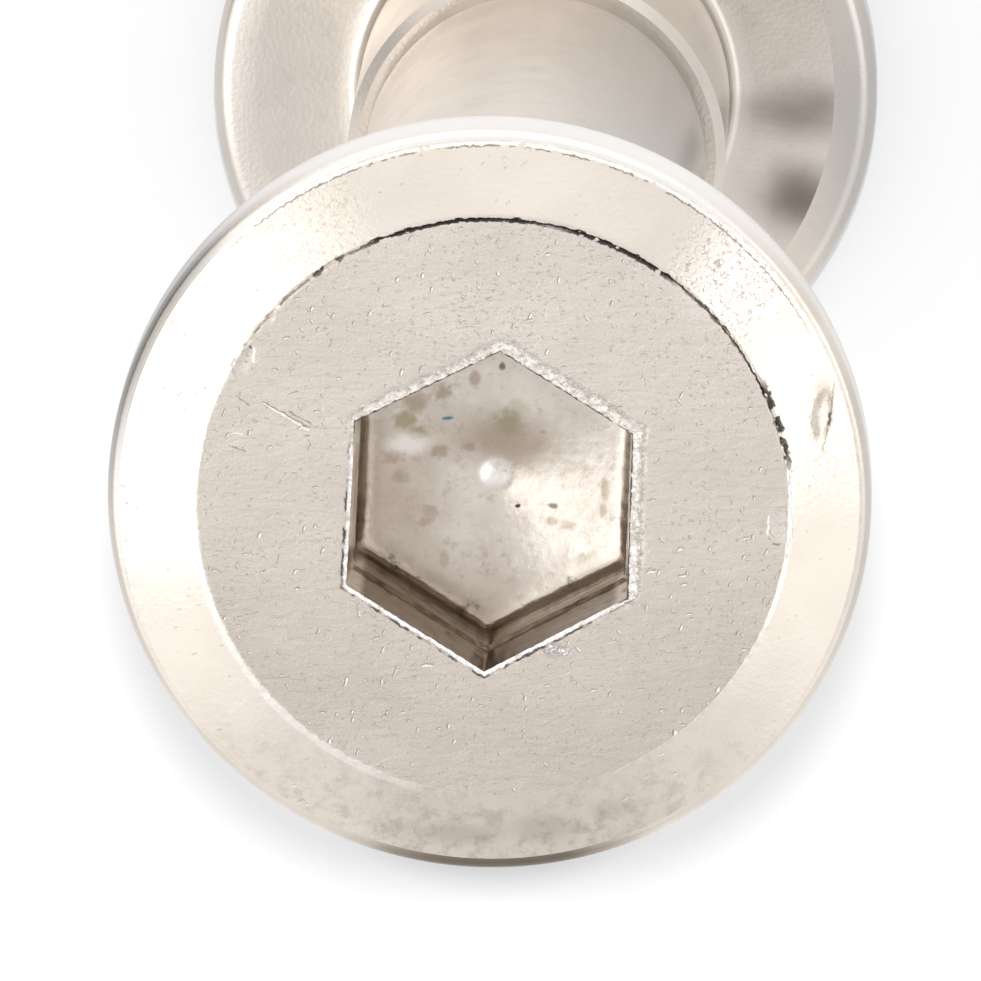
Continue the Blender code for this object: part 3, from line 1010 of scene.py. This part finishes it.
screw = {
    "shoulderRadius": 3.9,
    "shoulderTop": 8.2,
    "shoulderChamfer": 0.20,
    "reliefRadius": 2.0,
    "reliefFillet": 0.1,
    "reliefTop": 9.1,
    "crest": 2.46,
    "pitch": 0.8,
    "threadDepth": 0.46,
    "crestFlat": 0.25,  # shares of half a pitch
    "flank": 0.62,
    "core": 1.9,
    "tip": 22.2,
    "tipChamfer": 0.5,
    "tipLand": 0.02,
    "tipEdge": 0.05,
    "cornerDeg": -14.0,
    "columns": 300,
    "ringsPerTurn": 12,
    "mouthSides": [(16 + 60 * i, 2.60) for i in range(6)],
    "crushed": [0.08, 0.07, 0.08, 0.09, 0.08, 0.10],
    "crushEnd": (0.7, 1.2),
    "crushSink": 0.02,
    "crushSlope": 0.3,
    "crushRagged": 0.5,
    "faceEast": 0.0,
    "floorEast": 0.0,
}

farLook = {
    **screw,
    "faceHeight": 0.0,
    "cornerDeg": -screw["cornerDeg"],
    "mouthSides": [(-deg, half) for deg, half in screw["mouthSides"]],
    "patchShare": 0.0,
    "crazed": [],
    "arcs": [],
    "lines": [],
    "patches": [],
    "floorPatches": [],
    "flecks": [(10, 0.6, 0.71, 0.6, 23.0), (-50, 0.5, 0.71, 0.5, 31.0)],
    "bevelFlecks": [(60, 0.55, 0.75, 0.3, 15.0)],
    # tones of the socket's walls, painted shade and reflection
    "outerWall": (0.40, 0.335, 0.27),
    "innerWall": (0.27, 0.21, 0.155),
    "sideWall": (0.50, 0.44, 0.37),
    # greyer painted shade at the rim's two sides
    "rim": {"patches": [(7.0, -1.0, 1.4, 4.6, 0.7, 0.90, "shadeGrey"), (-7.0, -1.0, 1.4, 4.6, 0.7, 0.45, "shadeGrey")]},
    "under": {
        "rough": 0.26,
        "stain": 0.3,
        # painted shade: greyer at the sides, and two dark blobs of painted reflection of the near head
        "patches": [
            (5.6, -0.6, 1.9, 3.6, 0.6, 0.40, "shadeGrey"),
            (3.6, 0.4, 0.8, 2.6, 0.7, 0.30, "shadeGrey"),
            (5.38, -0.34, 1.0, 0.48, 0.9, 0.68, "soot"),
            (5.39, -2.25, 0.75, 0.60, 0.9, 0.92, "soot"),
            (-6.2, -0.6, 1.7, 3.6, 0.6, 0.44, "shadeGrey"),
        ],
    },
    # painted shade on the shank's right side
    "shank": {"patches": [(3.6, 1.2, 1.6, 2.2, 0.7, 0.40, "shadeGrey")]},
}


def farWear(angle, reach, depth, circle):
    if atMouth(circle):
        width = crushWidth(angle, screw)
        sunk = crushSink(screw, width, circle["r"] - socketShape["mouth"])[1]
        depth += sunk * (1 + screw["crushRagged"] * roundNoise(angle, 12, 3.0))
    return reach, depth


def screwRings():
    s = screw
    rings = headRings(s["shoulderRadius"])
    last = s["shoulderTop"] - s["shoulderChamfer"]
    for z in steps(headShape["thickness"] + headShape["rootFillet"] + 1.5, last - 0.2, 3) + [last]:
        rings.append(ring(s["shoulderRadius"], z, "shank"))
    rings.append(ring(s["shoulderRadius"] - s["shoulderChamfer"], s["shoulderTop"], "shank"))
    rings.append(ring(s["reliefRadius"] + s["reliefFillet"], s["shoulderTop"], "shank"))
    rings.append(ring(s["reliefRadius"], s["shoulderTop"] + s["reliefFillet"], "shank"))
    count = round((s["tip"] - s["reliefTop"]) / s["pitch"] * s["ringsPerTurn"])
    for z in steps(s["reliefTop"], s["tip"] - s["tipLand"], count):
        rings.append(ring(s["crest"], z, "bore"))
    rings.append(ring(s["crest"] - s["tipChamfer"] - s["tipEdge"], s["tip"], "shank"))
    rings.append(ring(0, s["tip"], "shank"))
    return rings


def threadRadius(angle, z):
    # radius of the screw's thread at an angle and a height, run out at both ends
    s = screw
    turn = (z / s["pitch"] - angle / math.tau) % 1.0
    valley = min(1.0, max(0.0, (abs(turn - 0.5) * 2 - s["crestFlat"]) / s["flank"]))
    thread = s["crest"] - s["threadDepth"] * valley
    runIn = s["reliefRadius"] + max(0.0, z - s["reliefTop"])
    runOut = s["crest"] - s["tipChamfer"] + max(0.0, s["tip"] - z)
    return max(s["core"], min(thread, runIn, runOut))


def cutThread(bm):
    # moves the rings at the thread's crest; the piece is still upside down here
    s = screw
    near = 0.01
    for v in bm.verts:
        r, z = math.hypot(v.co.x, v.co.y), -v.co.z
        if s["reliefTop"] - near < z < s["tip"] - near and abs(r - s["crest"]) < near:
            angle = math.atan2(v.co.y, v.co.x)
            r = threadRadius(angle, z)
            v.co.x, v.co.y = r * math.cos(angle), r * math.sin(angle)


bm = turnedMesh(screwRings(), screw, farWear)
cutThread(bm)
bmesh.ops.rotate(bm, cent=(0, 0, 0), matrix=Matrix.Rotation(math.pi, 3, "X"), verts=bm.verts)
axleScrew = pieceFrom(bm, "axleScrew", headFinishes("screw", farLook), headShape["sharpDeg"])
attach(axleScrew, "screw")
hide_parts("axle_screw")
print("screw:", len(axleScrew.data.polygons), "faces")

studio = {
    "floorReach": 1500.0,
    "floorColour": (0.427, 0.429, 0.435),
    "floorRough": 0.9,
    "floorGlow": 0.15,  # share of plain white in what the camera sees of the floor
    "lampLean": 16.4,
    "lampSwings": (3.5, 0.1),  # one lamp for each
    "lampPower": 2.0,
    "lampSpread": 1.6,
    "lampColour": (1.0, 0.99, 0.98),
}

softBoxes = [  # direction, degrees to its full light and to its end, strength added
    ((-0.66, 0.06, 0.75), 17, 31, 0.75),
    ((-0.655, -0.375, 0.655), 6, 26, 0.30),
    ((0.60, 0.08, 0.80), 9, 21, 0.60),
    ((0.63, -0.30, 0.72), 6, 27, 0.32),
    ((-0.313, -0.094, 0.937), 5, 15, 0.70),
    ((0.0, 0.85, 0.52), 20, 45, 0.25),
    ((0.05, -0.835, 0.547), 3, 21, -0.17),
    ((-0.94, 0.32, 0.10), 8, 24, -0.45),
]


def paintSky():
    world = bpy.data.worlds.new("studio")
    bpy.context.scene.world = world
    world.use_nodes = True
    tree = world.node_tree
    tree.nodes.clear()
    ray = put(tree, "ShaderNodeTexCoord").outputs["Generated"]
    total = None
    for aim, full, end, strength in softBoxes:
        near = vector(tree, "DOT_PRODUCT", ray, Vector(aim).normalized(), "Value")
        share = spread(tree, near, math.cos(math.radians(end)), math.cos(math.radians(full)), 0, strength)
        total = calc(tree, "ADD", 1.0 if total is None else total, share)
    sky = put(tree, "ShaderNodeBackground", {"Color": (1, 1, 1, 1), "Strength": total})
    out = put(tree, "ShaderNodeOutputWorld")
    tree.links.new(sky.outputs[0], out.inputs["Surface"])


def layFloor():
    bm = bmesh.new()
    bmesh.ops.create_grid(bm, x_segments=1, y_segments=1, size=studio["floorReach"])
    made, tree, shader = blankMaterial("paleFloor")
    shader.inputs["Base Color"].default_value = (*studio["floorColour"], 1)
    shader.inputs["Roughness"].default_value = studio["floorRough"]
    shader.inputs["Specular IOR Level"].default_value = 0.0
    path = put(tree, "ShaderNodeLightPath")
    seen = calc(tree, "MAXIMUM", path.outputs["Is Camera Ray"], path.outputs["Is Glossy Ray"])
    seen = calc(tree, "MAXIMUM", seen, path.outputs["Is Transmission Ray"])
    glow = put(tree, "ShaderNodeEmission", {"Color": (1, 1, 1, 1), "Strength": 1.0})
    mix = put(tree, "ShaderNodeMixShader", {0: times(tree, seen, studio["floorGlow"])})
    tree.links.new(shader.outputs[0], mix.inputs[1])
    tree.links.new(glow.outputs[0], mix.inputs[2])
    tree.links.new(mix.outputs[0], tree.nodes["Material Output"].inputs["Surface"])
    floor = pieceFrom(bm, "paleFloor", [made], sharpDeg=180)


def hangLamps():
    lamp = bpy.data.lights.new("softLamp", "SUN")
    lamp.energy = studio["lampPower"]
    lamp.angle = math.radians(studio["lampSpread"])
    lamp.color = studio["lampColour"]
    for swing in studio["lampSwings"]:
        holder = bpy.data.objects.new("softLamp", lamp)
        holder.rotation_euler = (math.radians(-studio["lampLean"]), math.radians(swing), 0)
        holder.visible_glossy = False
        bpy.context.scene.collection.objects.link(holder)


view = {
    "leanDeg": 14.05,  # how far the camera stands off the axle, towards +Y
    "swingDeg": 1.9,
    "distance": 227.0,
    "aimHeight": 36.6,
    "focalPixels": 12356.0,
    "framePixels": 981,
    "sensorWidth": 36,
    "clip": (0.01, 20),  # metres
}


def standCamera():
    lean, swing = math.radians(view["leanDeg"]), math.radians(view["swingDeg"])
    back = Vector((math.tan(swing), math.tan(lean), 1)).normalized()
    up = (Vector((0, 1, 0)) - back * back.y).normalized()
    side = up.cross(back)
    lens = bpy.data.cameras.new("camera")
    lens.sensor_width = view["sensorWidth"]
    lens.lens = view["focalPixels"] / view["framePixels"] * lens.sensor_width
    lens.clip_start, lens.clip_end = view["clip"]
    camera = bpy.data.objects.new("camera", lens)
    place = Vector((0, 0, view["aimHeight"])) + back * view["distance"]
    camera.matrix_world = Matrix.Translation(place * mm) @ Matrix((side, up, back)).transposed().to_4x4()
    bpy.context.scene.collection.objects.link(camera)
    bpy.context.scene.camera = camera


paintSky()
layFloor()
hangLamps()
standCamera()
bpy.context.scene.view_settings.view_transform = "Standard"
print("stage and camera ready")
